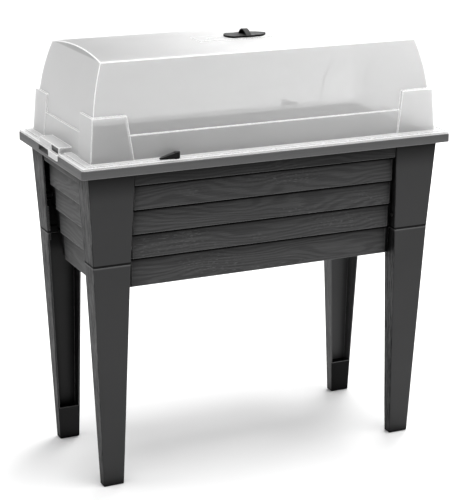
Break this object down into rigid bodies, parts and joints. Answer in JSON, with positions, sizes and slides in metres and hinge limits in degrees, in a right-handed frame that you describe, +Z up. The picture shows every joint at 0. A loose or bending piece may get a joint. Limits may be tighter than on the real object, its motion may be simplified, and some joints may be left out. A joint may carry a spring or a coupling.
{
  "type": "cold frame",
  "caption": "Raised planter on tapered legs with boarded walls and a frosted lift-off dome cover that has a sliding roof vent and turn latches.",
  "frame": {"origin": "on the ground under the middle of the planter, between the four feet", "axes": "+X along the length to the right, +Y to the back, +Z up"},
  "size_m": [0.7848, 0.372, 0.8617],
  "materials": {
    "tub_plastic": "moulded wood grain, satin",
    "leg_plastic": "smooth satin",
    "cover_plastic": "frosted translucent plastic",
    "fitting_plastic": "satin",
    "screw_steel": "zinc plated",
    "seal_rubber": "matte"
  },
  "bodies": {
    "planter": {"planter_tub": "tub_plastic", "leg_upper_front_left": "leg_plastic", "leg_lower_front_left": "leg_plastic", "leg_upper_front_right": "leg_plastic", "leg_lower_front_right": "leg_plastic", "leg_upper_back_left": "leg_plastic", "leg_lower_back_left": "leg_plastic", "leg_upper_back_right": "leg_plastic", "leg_lower_back_right": "leg_plastic", "leg_screws": "screw_steel", "leg_joint_screws": "screw_steel"},
    "cover": {"cover": "cover_plastic"},
    "vent": {"roof_vent_slider": "fitting_plastic", "vent_retainer": "fitting_plastic", "vent_screw": "screw_steel"},
    "latch_front_left": {"latch_lever_front_left": "fitting_plastic", "latch_key_front_left": "fitting_plastic", "latch_screw_front_left": "screw_steel"},
    "latch_back_right": {"latch_lever_back_right": "fitting_plastic", "latch_key_back_right": "fitting_plastic", "latch_screw_back_right": "screw_steel"},
    "plug_left": {"drain_plug_left": "fitting_plastic", "drain_seal_left": "seal_rubber"},
    "plug_right": {"drain_plug_right": "fitting_plastic", "drain_seal_right": "seal_rubber"}
  },
  "joints": [
    {"name": "cover_lift", "type": "slide", "parent": "planter", "child": "cover", "axis": [0, 0, 1], "range_m": [0, 0.3]},
    {"name": "vent_slide", "type": "slide", "parent": "cover", "child": "vent", "axis": [-1, 0, 0], "range_m": [0, 0.058]},
    {"name": "latch_front_left_turn", "type": "hinge", "parent": "cover", "child": "latch_front_left", "pos_m": [-0.1995, -0.1755, 0.65], "axis": [0, 0, 1], "range_deg": [0, 90]},
    {"name": "latch_back_right_turn", "type": "hinge", "parent": "cover", "child": "latch_back_right", "pos_m": [0.1995, 0.1755, 0.65], "axis": [0, 0, 1], "range_deg": [0, 90]},
    {"name": "plug_left_pull", "type": "slide", "parent": "planter", "child": "plug_left", "axis": [0, 0, -1], "range_m": [0, 0.03]},
    {"name": "plug_right_pull", "type": "slide", "parent": "planter", "child": "plug_right", "axis": [0, 0, -1], "range_m": [0, 0.03]}
  ]
}
